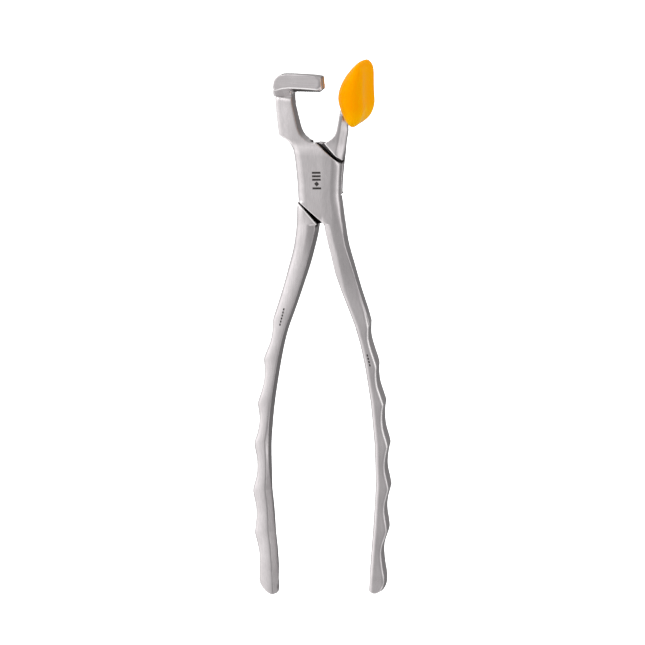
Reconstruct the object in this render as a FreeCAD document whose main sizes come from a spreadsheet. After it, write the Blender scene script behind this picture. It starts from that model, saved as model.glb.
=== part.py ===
import FreeCAD, Part
import math
import os

# Lever-type extraction forceps, millimetres.
# Frame: +Z runs along the tool towards the working end, -Y is the front face,
# +X is the side of the cushioned bumper. The origin is the centre of the pivot.

V = FreeCAD.Vector
doc = FreeCAD.newDocument("extraction_forceps")

# ---------------------------------------------------------------- sizes
sheet = doc.addObject("Spreadsheet::Sheet", "Sizes")
SIZES = [
    ("joint_depth", 8.0),        # both lapped plates together, front to back
    ("lap_gap", 0.06),           # each plate stops this far from the mid plane
    ("shank_depth", 6.4),
    ("journal_dia", 5.0),
    ("bore_dia", 5.1),
    ("thread_dia", 4.0),
    ("thread_hole_dia", 4.04),
    ("thread_len", 3.1),
    ("head_dia", 7.4),
    ("head_thick", 1.3),
    ("recess_dia", 7.7),
    ("recess_deep", 1.42),
    ("slot_wide", 0.9),
    ("slot_deep", 0.7),
    ("handle_flat", 2.6),       # half the depth of the crisp outer side face
    ("handle_crown", 3.1),       # half the depth at the crown of the handle
    ("handle_inner", 2.75),       # half the depth of the inner side face
    ("scallop_slant", 0.38),     # rise of a finger scallop per mm of depth
    ("beak_front", 6.0),         # how far the beak stands towards the front
    ("beak_back", 2.6),
    ("tooth_pitch", 0.9),        # serration under the beak
    ("tooth_deep", 0.3),
    ("paddle_half", 6.5),        # half width of the bumper paddle
    ("paddle_in", 0.9),
    ("paddle_out", 1.7),
    ("paddle_start", 4.6),       # along the shank from the paddle's datum
    ("paddle_end", 21.5),
    ("pocket_fit", 0.15),
    ("shank_tilt", 10.0),        # degrees the upper bumper shank leans out
]
for i, (name, value) in enumerate(SIZES, start=1):
    sheet.set("A%d" % i, name)
    sheet.set("B%d" % i, str(value))
    sheet.setAlias("B%d" % i, name)
doc.recompute()


def S(name):
    return float(getattr(sheet, name))


# ---------------------------------------------------------------- helpers
FRONTAL = FreeCAD.Rotation(V(1, 0, 0), 90)      # sketch (u, v) -> (x, z)


def outline(name, runs):
    """Closed frontal sketch at y = 0. Each run is a list of (x, z) points:
    two points make a straight edge, more make a spline through them."""
    sk = doc.addObject("Sketcher::SketchObject", name)
    sk.Placement = FreeCAD.Placement(V(0, 0, 0), FRONTAL)
    for run in runs:
        pts = [V(u, w, 0) for u, w in run]
        if len(pts) == 2:
            sk.addGeometry(Part.LineSegment(pts[0], pts[1]), False)
        else:
            curve = Part.BSplineCurve()
            curve.interpolate(Points=pts)
            sk.addGeometry(curve, False)
    return sk


def closed(points):
    pts = list(points) + [points[0]]
    return [[pts[i], pts[i + 1]] for i in range(len(points))]


def slab(name, sketch, back, front, slant=None):
    """Solid between y = -front and y = +back; both are expressions."""
    ex = doc.addObject("Part::Extrusion", name)
    ex.Base = sketch
    ex.DirMode = "Custom"
    ex.Dir = V(0, 1, 0) if slant is None else V(0, 1, slant)
    ex.Solid = True
    ex.setExpression("LengthFwd", back)
    ex.setExpression("LengthRev", front)
    return ex


def cut(name, base, tool):
    ob = doc.addObject("Part::Cut", name)
    ob.Base, ob.Tool = base, tool
    return ob


def common(name, base, tool):
    ob = doc.addObject("Part::Common", name)
    ob.Base, ob.Tool = base, tool
    return ob


def fuse(name, shapes):
    ob = doc.addObject("Part::MultiFuse", name)
    ob.Shapes = shapes
    return ob


def peg(name, dia, y0, y1):
    """Cylinder on the pivot axis from y0 to y1 (expressions)."""
    ob = doc.addObject("Part::Cylinder", name)
    ob.Placement = FreeCAD.Placement(V(0, 0, 0), FreeCAD.Rotation(V(1, 0, 0), -90))
    ob.setExpression("Radius", dia + " / 2")
    ob.setExpression("Height", "(%s) - (%s)" % (y1, y0))
    ob.setExpression("Placement.Base.y", y0)
    return ob


HALF = "Sizes.joint_depth / 2"
GAP = "Sizes.lap_gap"
SHANK = "Sizes.shank_depth / 2"

# ---------------------------------------------------------------- outlines
# Joint region of the beak half: plate, lower end of the shank, top of the handle
a_left = [(-7.75, -6.88), (-7.9, -3.2), (-8.1, -0.9), (-8.25, 1.5), (-8.5, 3.8),
          (-8.7, 6.1), (-9.0, 8.4), (-9.3, 10.8), (-9.9, 13.1), (-11.2, 15.3),
          (-12.2, 16.4), (-13.6, 17.5)]
a_throat = [(-5.9, 17.5), (-4.6, 16.5), (-3.2, 16.0), (-1.8, 15.95), (-0.9, 16.1)]
a_right = [(8.3, 8.5), (8.3, 6.0), (8.15, 3.6), (8.0, 1.3), (7.95, -1.0),
           (7.9, -3.4), (8.0, -5.7), (8.3, -8.0), (8.5, -10.4), (8.75, -12.7),
           (9.0, -15.0)]
joint_a = outline("BeakJointOutline", [
    a_left, [a_left[-1], a_throat[0]], a_throat, [a_throat[-1], a_right[0]],
    a_right, [a_right[-1], (1.95, -15.0)], [(1.95, -15.0), (1.6, -14.45)],
    [(1.6, -14.45), a_left[0]]])

# Joint region of the bumper half
b_left = [(-8.55, -15.6), (-8.45, -13.0), (-8.35, -10.2), (-8.15, -7.9),
          (-8.05, -3.5), (-8.1, 0.0), (-8.3, 3.5)]
b_throat = [(-1.2, 15.9), (0.4, 15.85), (2.0, 16.0), (3.3, 16.6), (4.4, 17.5)]
b_right = [(10.2, 17.5), (9.75, 14.2), (9.35, 11.9), (8.95, 9.55), (8.6, 7.2),
           (8.25, 3.6), (8.0, 0.0), (7.9, -3.5)]
joint_b = outline("BumperJointOutline", [
    b_left, [b_left[-1], b_throat[0]], b_throat, [b_throat[-1], b_right[0]],
    b_right, [b_right[-1], (0.3, -15.4)], [(0.3, -15.4), (-0.75, -15.6)],
    [(-0.75, -15.6), b_left[0]]])

# Shank of the beak half, up into the beak
shank_a = outline("BeakShankOutline", [
    [(-13.9, 17.3), (-15.45, 18.55)],
    [(-15.45, 18.55), (-15.75, 20.8), (-16.25, 24.3), (-16.7, 27.9), (-17.0, 31.3),
     (-17.6, 33.6), (-17.6, 36.0)],
    [(-17.6, 36.0), (-16.6, 39.5)],
    [(-16.6, 39.5), (-10.5, 39.5)],
    [(-10.5, 39.5), (-10.95, 33.8)],
    [(-10.95, 33.8), (-10.9, 32.1), (-10.2, 28.6), (-9.4, 25.1), (-8.55, 21.7),
     (-7.6, 19.4), (-6.6, 18.1), (-5.6, 17.3)],
    [(-5.6, 17.3), (-13.9, 17.3)]])

# Shank of the bumper half, straight and leaning out at its upper end
tilt = math.radians(S("shank_tilt"))
T = V(math.sin(tilt), 0, math.cos(tilt))            # up along the shank
N = V(math.cos(tilt), 0, -math.sin(tilt))           # across it, outwards
DATUM = V(9.2, 0, 22.0)


def along(s_, n_):
    p = DATUM + T * s_ + N * n_
    return (p.x, p.z)


shank_b = outline("BumperShankOutline", [
    [(4.1, 17.3), (5.9, 18.5), (6.75, 19.8), along(-0.6, -1.75)],
    [along(-0.6, -1.75), along(6.5, -1.7)],
    [along(6.5, -1.7), along(9.0, -0.9)],
    [along(9.0, -0.9), along(12.0, -0.9)],
    [along(12.0, -0.9), along(12.0, 1.7)],
    [along(12.0, 1.7), along(-0.6, 1.7)],
    [along(-0.6, 1.7), (10.55, 19.6), (10.2, 17.3)],
    [(10.2, 17.3), (4.1, 17.3)]])

# Beak: a hook that reaches across towards the bumper
beak_out = outline("BeakOutline", [
    [(-17.1, 34.4), (-17.35, 36.6), (-17.2, 38.8), (-16.6, 40.6), (-15.4, 41.85),
     (-12.9, 42.6), (-8.4, 43.0), (-3.0, 42.75), (1.7, 42.1)],
    [(1.7, 42.1), (2.5, 41.5), (2.85, 40.5), (2.75, 38.6)],
    [(2.75, 38.6), (2.1, 37.6), (0.5, 35.85)],
    [(0.5, 35.85), (-9.2, 35.55)],
    [(-9.2, 35.55), (-10.6, 34.9), (-11.1, 33.6)],
    [(-11.1, 33.6), (-17.1, 34.4)]])

# The beak from above: it narrows from the shank's full depth to its tip
beak_plan = doc.addObject("Sketcher::SketchObject", "BeakPlanOutline")
beak_plan.Placement = FreeCAD.Placement(V(0, 0, 30.0), FreeCAD.Rotation())
plan = [(-19.0, -6.0), (3.4, -6.0), (3.4, -1.5), (1.6, -1.3), (-5.0, 0.6), (-9.5, 2.2), (-12.0, 2.6), (-16.4, 2.6),
        (-18.0, 1.4), (-19.0, -0.5)]
for i in range(len(plan)):
    p, q = plan[i], plan[(i + 1) % len(plan)]
    beak_plan.addGeometry(Part.LineSegment(V(p[0], p[1], 0), V(q[0], q[1], 0)), False)

# ---------------------------------------------------------------- handles
def crowned_bar(stations, side):
    """Loft of D-shaped sections. Station: z, inner x, outer x, crown, flat, inner flat."""
    wires = []
    for z, xi, xo, c, f, g in stations:
        xm = xi + (xo - xi) * 0.5
        p = [V(xo, -f, z), V(xo, f, z), V(xi, g, z), V(xi, -g, z)]
        wires.append(Part.Wire([
            Part.makeLine(p[0], p[1]),
            Part.Arc(p[1], V(xm, c, z), p[2]).toShape(),
            Part.makeLine(p[2], p[3]),
            Part.Arc(p[3], V(xm, -c, z), p[0]).toShape()]))
    return Part.makeLoft(wires, True, False)


def stations(rows):
    """Depth sizes ease from the joint's to the handle's over the first 35 mm."""
    c1, f1, g1 = S("handle_crown"), S("handle_flat"), S("handle_inner")
    out = []
    for z, xi, xo in rows:
        k = min(1.0, max(0.0, (-z - 13.0) / 35.0))
        k = k * k * (3 - 2 * k)
        out.append((z, xi, xo, 3.98 + (c1 - 3.98) * k, 3.4 + (f1 - 3.4) * k, 3.2 + (g1 - 3.2) * k))
    return out


rows_a = [(-13.6, 1.75, 8.9), (-18.3, 3.05, 9.54), (-22.9, 4.3, 10.4), (-27.5, 5.5, 11.8),
          (-34.0, 6.95, 13.95), (-41.3, 9.45, 16.3), (-47.8, 12.06, 18.6), (-54.5, 14.75, 20.6),
          (-61.6, 16.89, 22.2), (-69.5, 18.7, 23.6), (-84.0, 21.1, 26.1), (-100.3, 22.65, 27.8),
          (-116.7, 23.12, 28.2), (-133.1, 22.1, 27.5), (-146.0, 21.05, 26.6), (-160.0, 19.9, 26.2)]
rows_b = [(-14.2, -0.75, -8.5), (-18.7, -1.45, -8.9), (-23.5, -2.5, -9.6), (-28.2, -3.72, -10.75),
          (-34.0, -5.4, -12.5), (-42.4, -8.23, -15.05), (-49.5, -10.7, -17.4), (-56.7, -13.34, -19.6),
          (-68.5, -16.2, -22.5), (-85.5, -18.95, -24.95), (-101.1, -20.2, -26.2),
          (-119.9, -19.85, -26.6), (-136.2, -18.56, -25.8), (-150.4, -17.4, -24.7),
          (-162.0, -17.1, -24.3)]

bar_a = doc.addObject("Part::Feature", "BeakHandleBar")
bar_a.Shape = crowned_bar(stations(rows_a), 1)
bar_b = doc.addObject("Part::Feature", "BumperHandleBar")
bar_b.Shape = crowned_bar(stations(rows_b), -1)

# Finger scallops, ground across the outer side on a slant
scallops_a = [
    [(19.95, -53.9), (19.88, -56.2), (19.95, -58.6), (20.45, -60.9), (21.15, -63.2),
     (21.95, -65.5), (22.75, -67.8), (23.2, -69.5)],
    [(23.2, -69.5), (23.05, -71.5), (23.1, -73.4), (23.3, -75.4), (23.7, -77.4),
     (24.4, -79.5), (25.2, -81.7), (26.0, -84.0)],
    [(26.0, -84.0), (25.6, -86.2), (25.45, -88.7), (25.5, -91.0), (25.8, -93.4),
     (26.4, -95.7), (27.15, -98.0), (27.68, -100.3)],
    [(27.68, -100.3), (27.1, -102.7), (26.7, -105.0), (26.48, -108.0), (26.65, -110.2),
     (27.1, -112.3), (27.6, -114.4), (28.05, -116.7)],
    [(28.05, -116.7), (27.4, -119.0), (26.75, -121.4), (26.4, -123.7), (26.4, -126.1),
     (26.7, -128.4), (27.1, -130.7), (27.35, -133.0)],
    [(27.35, -133.0), (26.7, -135.4), (25.8, -137.8), (25.25, -140.2), (25.1, -142.4),
     (25.3, -145.0), (25.75, -148.3), (26.2, -150.7), (26.4, -153.0)]]
scallops_b = [
    [(-18.6, -52.8), (-18.65, -55.2), (-18.85, -57.5), (-19.2, -59.9), (-19.9, -62.3),
     (-20.85, -64.7), (-21.75, -66.8), (-22.3, -68.3)],
    [(-22.3, -68.3), (-22.0, -70.6), (-21.9, -73.0), (-22.0, -75.4), (-22.4, -78.2),
     (-23.2, -81.0), (-24.05, -83.5), (-24.8, -85.8)],
    [(-24.8, -85.8), (-24.3, -88.2), (-24.0, -90.5), (-24.0, -92.8), (-24.35, -95.2),
     (-24.9, -97.6), (-25.6, -99.6), (-26.1, -101.1)],
    [(-26.1, -101.1), (-25.75, -103.6), (-25.2, -105.9), (-24.85, -109.0), (-24.85, -112.3),
     (-25.2, -114.6), (-25.8, -116.9), (-26.5, -119.8)],
    [(-26.5, -119.8), (-26.0, -122.0), (-25.4, -124.3), (-25.0, -127.0), (-24.95, -129.7),
     (-25.15, -132.3), (-25.45, -134.6), (-25.72, -136.2)],
    [(-25.72, -136.2), (-25.1, -138.3), (-24.4, -140.8), (-23.9, -143.1), (-23.68, -146.0),
     (-23.65, -149.0), (-23.8, -151.5), (-24.05, -154.8)]]
SLANT = S("scallop_slant")


def scallop_cutter(name, runs, xfar):
    first, last = runs[0][0], runs[-1][-1]
    lead = (first[0] + (0.6 if xfar > 0 else -0.6), first[1] + 1.4)
    segs = [[(xfar, lead[1]), lead], [lead, first]] + runs
    segs += [[last, (xfar, last[1])], [(xfar, last[1]), (xfar, lead[1])]]
    return slab(name, outline(name + "Outline", segs), "6", "6", SLANT)


grind_a = scallop_cutter("BeakHandleGrind", scallops_a, 40.0)
grind_b = scallop_cutter("BumperHandleGrind", scallops_b, -40.0)

# Rounded free ends of the handles
end_a = outline("BeakHandleEnd", [
    [(-12.0, -8.0), (40.0, -8.0)], [(40.0, -8.0), (40.0, -151.5)], [(40.0, -151.5), (26.6, -151.5)],
    [(26.6, -151.5), (26.35, -153.6), (25.8, -155.5), (24.9, -157.1), (23.5, -158.3),
     (22.2, -158.6)],
    [(22.2, -158.6), (21.1, -158.3), (20.4, -157.6), (20.0, -156.5)],
    [(20.0, -156.5), (-12.0, -156.5)], [(-12.0, -156.5), (-12.0, -8.0)]])
end_b = outline("BumperHandleEnd", [
    [(12.0, -8.0), (-40.0, -8.0)], [(-40.0, -8.0), (-40.0, -152.0)], [(-40.0, -152.0), (-24.6, -152.0)],
    [(-24.6, -152.0), (-24.2, -155.0), (-23.4, -157.4), (-22.2, -159.2), (-20.7, -160.5),
     (-19.3, -160.9)],
    [(-19.3, -160.9), (-18.2, -160.6), (-17.5, -159.8), (-17.15, -158.5)],
    [(-17.15, -158.5), (12.0, -158.5)], [(12.0, -158.5), (12.0, -8.0)]])

handle_a = common("BeakHandleEnded", cut("BeakHandleGround", bar_a, grind_a),
                  slab("BeakHandleEndSlab", end_a, "8", "8"))
handle_b = common("BumperHandleEnded", cut("BumperHandleGround", bar_b, grind_b),
                  slab("BumperHandleEndSlab", end_b, "8", "8"))

# ---------------------------------------------------------------- beak half
plate_a = slab("BeakPlate", joint_a, HALF, HALF)
stem_a = slab("BeakShank", shank_a, SHANK, SHANK)
hook_slab = slab("BeakHookSlab", beak_out, "Sizes.beak_back", "Sizes.beak_front")
plan_prism = doc.addObject("Part::Extrusion", "BeakPlanPrism")
plan_prism.Base = beak_plan
plan_prism.DirMode = "Custom"
plan_prism.Dir = V(0, 0, 1)
plan_prism.LengthFwd = 20.0
plan_prism.Solid = True

# The beak from its end: the top falls away towards the back
crest = doc.addObject("Sketcher::SketchObject", "BeakCrestOutline")
crest.Placement = FreeCAD.Placement(V(-20, 0, 0), FreeCAD.Rotation(V(1, 1, 1), 120))
ridge = [(-6.6, 30.0), (-6.6, 42.6), (-6.0, 42.75), (-5.2, 42.95), (-3.6, 42.9), (-1.4, 42.45), (0.8, 41.6),
         (2.2, 40.2), (2.8, 38.4), (2.8, 30.0)]
for i in range(len(ridge)):
    p, q = ridge[i], ridge[(i + 1) % len(ridge)]
    crest.addGeometry(Part.LineSegment(V(p[0], p[1], 0), V(q[0], q[1], 0)), False)
crest_prism = doc.addObject("Part::Extrusion", "BeakCrestPrism")
crest_prism.Base = crest
crest_prism.DirMode = "Custom"
crest_prism.Dir = V(1, 0, 0)
crest_prism.LengthFwd = 30.0
crest_prism.Solid = True
hook = common("BeakHook", common("BeakHookPlan", hook_slab, plan_prism), crest_prism)

# The beak's underside falls back from its front edge to the serrated lip
under = doc.addObject("Sketcher::SketchObject", "BeakUnderOutline")
under.Placement = FreeCAD.Placement(V(-20, 0, 0), FreeCAD.Rotation(V(1, 1, 1), 120))
bf, bb = -S("beak_front"), S("beak_back")
ring = [(bf - 0.5, 37.6), (bf + 0.3, 37.0), (-4.2, 36.35), (-3.2, 35.9), (-2.1, 35.0),
        (-2.1, 33.9), (-3.6, 32.9), (-7.5, 32.4)]
for i in range(len(ring)):
    p, q = ring[i], ring[(i + 1) % len(ring)]
    under.addGeometry(Part.LineSegment(V(p[0], p[1], 0), V(q[0], q[1], 0)), False)
under_cut = doc.addObject("Part::Extrusion", "BeakUnder")
under_cut.Base = under
under_cut.DirMode = "Custom"
under_cut.Dir = V(1, 0, 0)
under_cut.LengthFwd = 30.0
under_cut.Solid = True

# Serration: V grooves across the lip
pitch, deep = S("tooth_pitch"), S("tooth_deep")
teeth = []
x0, zbase = 0.3, 35.84
n_teeth = 10
pts = [(x0 + 0.2, 34.6)]
for i in range(n_teeth):
    xa = x0 - i * pitch
    pts += [(xa, zbase - 0.0306 * (x0 - xa) - 0.02), (xa - pitch / 2, zbase - 0.0306 * (x0 - xa) + deep)]
pts += [(x0 - n_teeth * pitch, zbase - 0.0306 * n_teeth * pitch - 0.02), (x0 - n_teeth * pitch - 0.2, 34.6)]
saw = slab("BeakSerration", outline("BeakSerrationOutline", closed(pts)),
           "Sizes.beak_back + 1", "Sizes.beak_front + 1")

# Hollow of the beak's tip: the crescent that closes on the root
scoop = doc.addObject("Part::Cylinder", "BeakScoop")
scoop.Radius = 9.0
scoop.Height = 20.0
scoop.Placement = FreeCAD.Placement(V(11.15, -3.7, 30.0), FreeCAD.Rotation(V(0, 1, 0), -4.0))

hook_cut = cut("BeakSerrated", cut("BeakScooped", cut("BeakUnderCut", hook, under_cut), scoop), saw)

# Rear recess in the beak half for the bumper half's plate
recess_a = outline("BeakRecessOutline", closed([
    (-2.55, 18.5), (-11.33, -3.2), (-11.33, -16.1), (2.3, -16.1), (10.6, 1.7), (10.6, 18.5)]))
recess_a_s = slab("BeakRecess", recess_a, HALF + " + 1", GAP)
body_a = cut("BeakBody", fuse("BeakBodyBlank", [plate_a, handle_a]), recess_a_s)
hole_a = peg("BeakThreadHole", "Sizes.thread_hole_dia", "0 - Sizes.thread_len - 0.15", "1")
beak_half = fuse("BeakHalf", [cut("BeakBored", body_a, hole_a), stem_a, hook_cut])
beak_half.Label = "beak_half"

# ---------------------------------------------------------------- bumper half
plate_b = slab("BumperPlate", joint_b, HALF, HALF)
stem_b = slab("BumperShank", shank_b, SHANK, SHANK)

paddle = doc.addObject("Sketcher::SketchObject", "PaddleOutline")
paddle.Placement = FreeCAD.Placement(V(0, 0, 0), FRONTAL)
ps, pe, pi_, po = S("paddle_start"), S("paddle_end"), S("paddle_in"), S("paddle_out")
loop = [along(ps, -pi_), along(pe - 1.0, -pi_), along(pe, -pi_ + 0.8), along(pe, po - 0.8),
        along(pe - 1.0, po), along(ps, po)]
for i in range(len(loop)):
    p, q = loop[i], loop[(i + 1) % len(loop)]
    paddle.addGeometry(Part.LineSegment(V(p[0], p[1], 0), V(q[0], q[1], 0)), False)
paddle_s = slab("Paddle", paddle, "Sizes.paddle_half", "Sizes.paddle_half")

# Front recess in the bumper half for the beak half's plate
recess_b = outline("BumperRecessOutline", closed([
    (-12.0, -3.05), (-0.43, -15.55), (0.9, -17.0), (10.6, -17.0), (12.2, 6.16), (8.8, 9.55),
    (1.75, 16.67), (0.2, 18.25), (-12.0, 18.25)]))
recess_b_s = slab("BumperRecess", recess_b, "0 - Sizes.lap_gap", HALF + " + 1")
recess_b_s.setExpression("LengthFwd", GAP)
body_b = cut("BumperBody", fuse("BumperBodyBlank", [plate_b, handle_b]), recess_b_s)
bore_b = peg("BumperBore", "Sizes.bore_dia", "0 - 1", "5")
seat_b = peg("BumperScrewSeat", "Sizes.recess_dia", HALF + " - Sizes.recess_deep", HALF + " + 1")
bumper_half = fuse("BumperHalf", [cut("BumperSeated", cut("BumperBored", body_b, bore_b), seat_b),
                                  stem_b, paddle_s])
bumper_half.Label = "bumper_half"

# ---------------------------------------------------------------- pivot screw
screw = doc.addObject("PartDesign::Body", "PivotScrew")
screw.Label = "pivot_screw"
planes = {f.Role: f for f in screw.Origin.OriginFeatures if hasattr(f, "Role")}
prof = screw.newObject("Sketcher::SketchObject", "ScrewProfile")
prof.AttachmentSupport = [(planes["XY_Plane"], "")]
prof.MapMode = "FlatFace"
# half profile in the XY plane, turned about the Y axis: x is the radius
ys = [("t0", "0 - Sizes.thread_len"), ("t1", "Sizes.lap_gap * 0"), ("j1", "Sizes.joint_depth / 2 - Sizes.recess_deep + 0.05"),
      ("h1", "Sizes.joint_depth / 2 - Sizes.recess_deep + 0.05 + Sizes.head_thick")]
rt, rj, rh = S("thread_dia") / 2, S("journal_dia") / 2, S("head_dia") / 2
y_t0, y_t1 = -S("thread_len"), -S("lap_gap")
y_j1 = S("joint_depth") / 2 - S("recess_deep") + 0.05
y_h1 = y_j1 + S("head_thick")
poly = [(0, y_t0), (rt - 0.4, y_t0), (rt, y_t0 + 0.4), (rt, y_t1), (rj, y_t1), (rj, y_j1), (rh, y_j1),
        (rh, y_h1 - 0.3), (rh - 0.3, y_h1), (0, y_h1)]
for i in range(len(poly)):
    p, q = poly[i], poly[(i + 1) % len(poly)]
    prof.addGeometry(Part.LineSegment(V(p[0], p[1], 0), V(q[0], q[1], 0)), False)
import Sketcher
count = len(poly)
for i in range(count):
    prof.addConstraint(Sketcher.Constraint("Coincident", i, 2, (i + 1) % count, 1))
prof.addConstraint(Sketcher.Constraint("DistanceX", -1, 1, 2, 2, rt))
prof.setExpression("Constraints[%d]" % (prof.ConstraintCount - 1), "Sizes.thread_dia / 2")
prof.addConstraint(Sketcher.Constraint("DistanceX", -1, 1, 4, 1, rj))
prof.setExpression("Constraints[%d]" % (prof.ConstraintCount - 1), "Sizes.journal_dia / 2")
prof.addConstraint(Sketcher.Constraint("DistanceX", -1, 1, 6, 2, rh))
prof.setExpression("Constraints[%d]" % (prof.ConstraintCount - 1), "Sizes.head_dia / 2")
turn = screw.newObject("PartDesign::Revolution", "ScrewTurned")
turn.Profile = prof
turn.ReferenceAxis = (prof, ["V_Axis"])
turn.Angle = 360.0
doc.recompute()
solid_before = turn.Shape.Volume
slot = screw.newObject("Sketcher::SketchObject", "ScrewSlot")
slot.AttachmentSupport = [(planes["XZ_Plane"], "")]
slot.MapMode = "FlatFace"
slot.AttachmentOffset = FreeCAD.Placement(V(0, 0, -y_h1), FreeCAD.Rotation())
sw = S("slot_wide") / 2
box = [(-5, -sw), (5, -sw), (5, sw), (-5, sw)]
for i in range(4):
    p, q = box[i], box[(i + 1) % 4]
    slot.addGeometry(Part.LineSegment(V(p[0], p[1], 0), V(q[0], q[1], 0)), False)
for i in range(4):
    slot.addConstraint(Sketcher.Constraint("Coincident", i, 2, (i + 1) % 4, 1))
slot.addConstraint(Sketcher.Constraint("DistanceY", 1, 1, 1, 2, 2 * sw))
slot.setExpression("Constraints[%d]" % (slot.ConstraintCount - 1), "Sizes.slot_wide")
kerf = screw.newObject("PartDesign::Pocket", "ScrewSlotCut")
kerf.Profile = slot
kerf.setExpression("Length", "Sizes.slot_deep")
doc.recompute()
if kerf.Shape.isNull() or kerf.Shape.Volume > solid_before - 1.0:
    kerf.Reversed = True
    doc.recompute()
if kerf.Shape.Volume > solid_before - 1.0:
    raise SystemExit("the screw slot cut nothing")

# ---------------------------------------------------------------- cushion
# Silicone bumper cushion: level sections stacked up its height
CUSHION = [  # z, inner x at the middle, outer x, half depth
    (23.9, 13.2, 15.8, 7.6), (24.8, 11.5, 17.0, 9.6), (26.4, 10.2, 17.95, 10.9), (28.6, 9.05, 18.55, 11.6),
    (31.0, 8.05, 18.85, 12.0), (33.8, 7.5, 18.75, 12.2), (37.0, 7.8, 18.6, 12.1), (40.0, 8.85, 18.6, 11.9),
    (42.8, 10.4, 18.6, 11.4), (45.2, 12.4, 18.35, 10.4), (46.9, 14.1, 17.75, 8.6), (47.8, 15.2, 17.1, 6.8)]
LEAN = 0.05      # the cushion's level lines climb this much per mm towards the back


def cushion_section(z, xi, xo, d):
    w = xo - xi
    half = [(xi, 0.0), (xi + 0.05 * w, 0.30 * d), (xi + 0.20 * w, 0.60 * d), (xi + 0.42 * w, 0.86 * d),
            (xi + 0.68 * w, 1.0 * d), (xi + 0.90 * w, 0.93 * d), (xi + 1.0 * w, 0.68 * d),
            (xi + 0.97 * w, 0.34 * d), (xi + 0.95 * w, 0.0)]
    loop_ = [V(x, y, z + LEAN * y) for x, y in half] + [V(x, -y, z - LEAN * y) for x, y in half[-2:0:-1]]
    c = Part.BSplineCurve()
    c.interpolate(Points=loop_, PeriodicFlag=True)
    return Part.Wire([c.toShape()])


pad = doc.addObject("Part::Feature", "CushionBlank")
pad.Shape = Part.makeLoft([cushion_section(*row) for row in CUSHION], True, False)
fit = S("pocket_fit")
low = -6.0
pocket_pts = [along(low, -pi_ - fit), along(pe + 0.3, -pi_ - fit), along(pe + 0.3, po + fit), along(low, po + fit)]
pocket = slab("CushionPocket", outline("CushionPocketOutline", closed(pocket_pts)),
              "Sizes.paddle_half + Sizes.pocket_fit", "Sizes.paddle_half + Sizes.pocket_fit")
chan_pts = [along(low, -2.6), along(6.6, -1.9), along(9.3, -pi_ - fit), along(9.3, po + fit), along(low, po + fit)]
channel = slab("CushionChannel", outline("CushionChannelOutline", closed(chan_pts)),
               "Sizes.shank_depth / 2 + Sizes.pocket_fit", "Sizes.shank_depth / 2 + Sizes.pocket_fit")
cushion = cut("Cushion", cut("CushionPocketed", pad, pocket), channel)
cushion.Label = "bumper_cushion"

doc.recompute()

# ---------------------------------------------------------------- checks and output
bad = [o.Name for o in doc.Objects if any(k in o.State for k in ("Invalid", "Error"))]
if bad:
    raise SystemExit("failed features: " + ", ".join(bad))
pieces = [beak_half, bumper_half, screw, cushion]
os.makedirs("parts", exist_ok=True)
for ob in pieces:
    sh = ob.Shape
    if sh.isNull() or not sh.isValid():
        raise SystemExit("bad shape: " + ob.Label)
    bb_ = sh.BoundBox
    print("%-16s solids %d vol %.1f  x %.2f..%.2f  y %.2f..%.2f  z %.2f..%.2f" % (
        ob.Label, len(sh.Solids), sh.Volume, bb_.XMin, bb_.XMax, bb_.YMin, bb_.YMax, bb_.ZMin, bb_.ZMax))
for ob in pieces:
    if len(ob.Shape.Solids) != 1:
        raise SystemExit("not one solid: " + ob.Label)
    ob.Shape.exportStep("parts/%s.step" % ob.Label)
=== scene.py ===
import math
import bpy
import bmesh
import numpy as np
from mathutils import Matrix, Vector


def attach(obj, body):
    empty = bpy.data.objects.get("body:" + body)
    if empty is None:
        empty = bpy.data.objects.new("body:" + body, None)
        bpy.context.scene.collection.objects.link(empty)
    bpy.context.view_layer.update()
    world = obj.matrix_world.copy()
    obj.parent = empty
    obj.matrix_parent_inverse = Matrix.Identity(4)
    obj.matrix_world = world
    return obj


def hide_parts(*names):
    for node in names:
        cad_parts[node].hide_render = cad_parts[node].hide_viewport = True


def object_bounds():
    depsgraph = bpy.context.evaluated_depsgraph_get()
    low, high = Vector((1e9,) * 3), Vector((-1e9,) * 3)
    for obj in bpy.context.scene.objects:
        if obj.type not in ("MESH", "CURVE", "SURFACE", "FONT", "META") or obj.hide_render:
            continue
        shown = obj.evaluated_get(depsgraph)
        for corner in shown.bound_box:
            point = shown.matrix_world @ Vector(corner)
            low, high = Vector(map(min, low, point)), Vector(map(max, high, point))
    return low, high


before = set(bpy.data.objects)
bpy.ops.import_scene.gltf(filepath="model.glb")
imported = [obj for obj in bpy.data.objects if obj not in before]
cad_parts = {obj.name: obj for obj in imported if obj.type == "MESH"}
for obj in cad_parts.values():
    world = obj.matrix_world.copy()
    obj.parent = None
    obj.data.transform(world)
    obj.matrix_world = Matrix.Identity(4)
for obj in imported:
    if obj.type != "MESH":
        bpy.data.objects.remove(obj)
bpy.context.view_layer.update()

MM = 0.001
scene = bpy.context.scene

# ---------------------------------------------------------------- camera
AZ, EL = math.radians(17.0), math.radians(9.0)
back = Vector((math.sin(AZ) * math.cos(EL), -math.cos(AZ) * math.cos(EL), math.sin(EL)))
right = Vector((math.cos(AZ), math.sin(AZ), 0.0))
up = Vector((-math.sin(AZ) * math.sin(EL), math.cos(AZ) * math.sin(EL), math.cos(EL)))
aim = right * (0.80 * MM) + up * (-53.45 * MM)
cam_data = bpy.data.cameras.new("camera")
cam_data.sensor_width = 36.0
cam_data.lens = 36.0 * 8000.0 / 247.9
cam_data.clip_start, cam_data.clip_end = 0.5, 60.0
cam = bpy.data.objects.new("camera", cam_data)
scene.collection.objects.link(cam)
cam.rotation_mode = "QUATERNION"
cam.location = aim + back * 8.0
cam.rotation_quaternion = (-back).to_track_quat("-Z", "Y")
scene.camera = cam

# ---------------------------------------------------------------- mesh helpers


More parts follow.
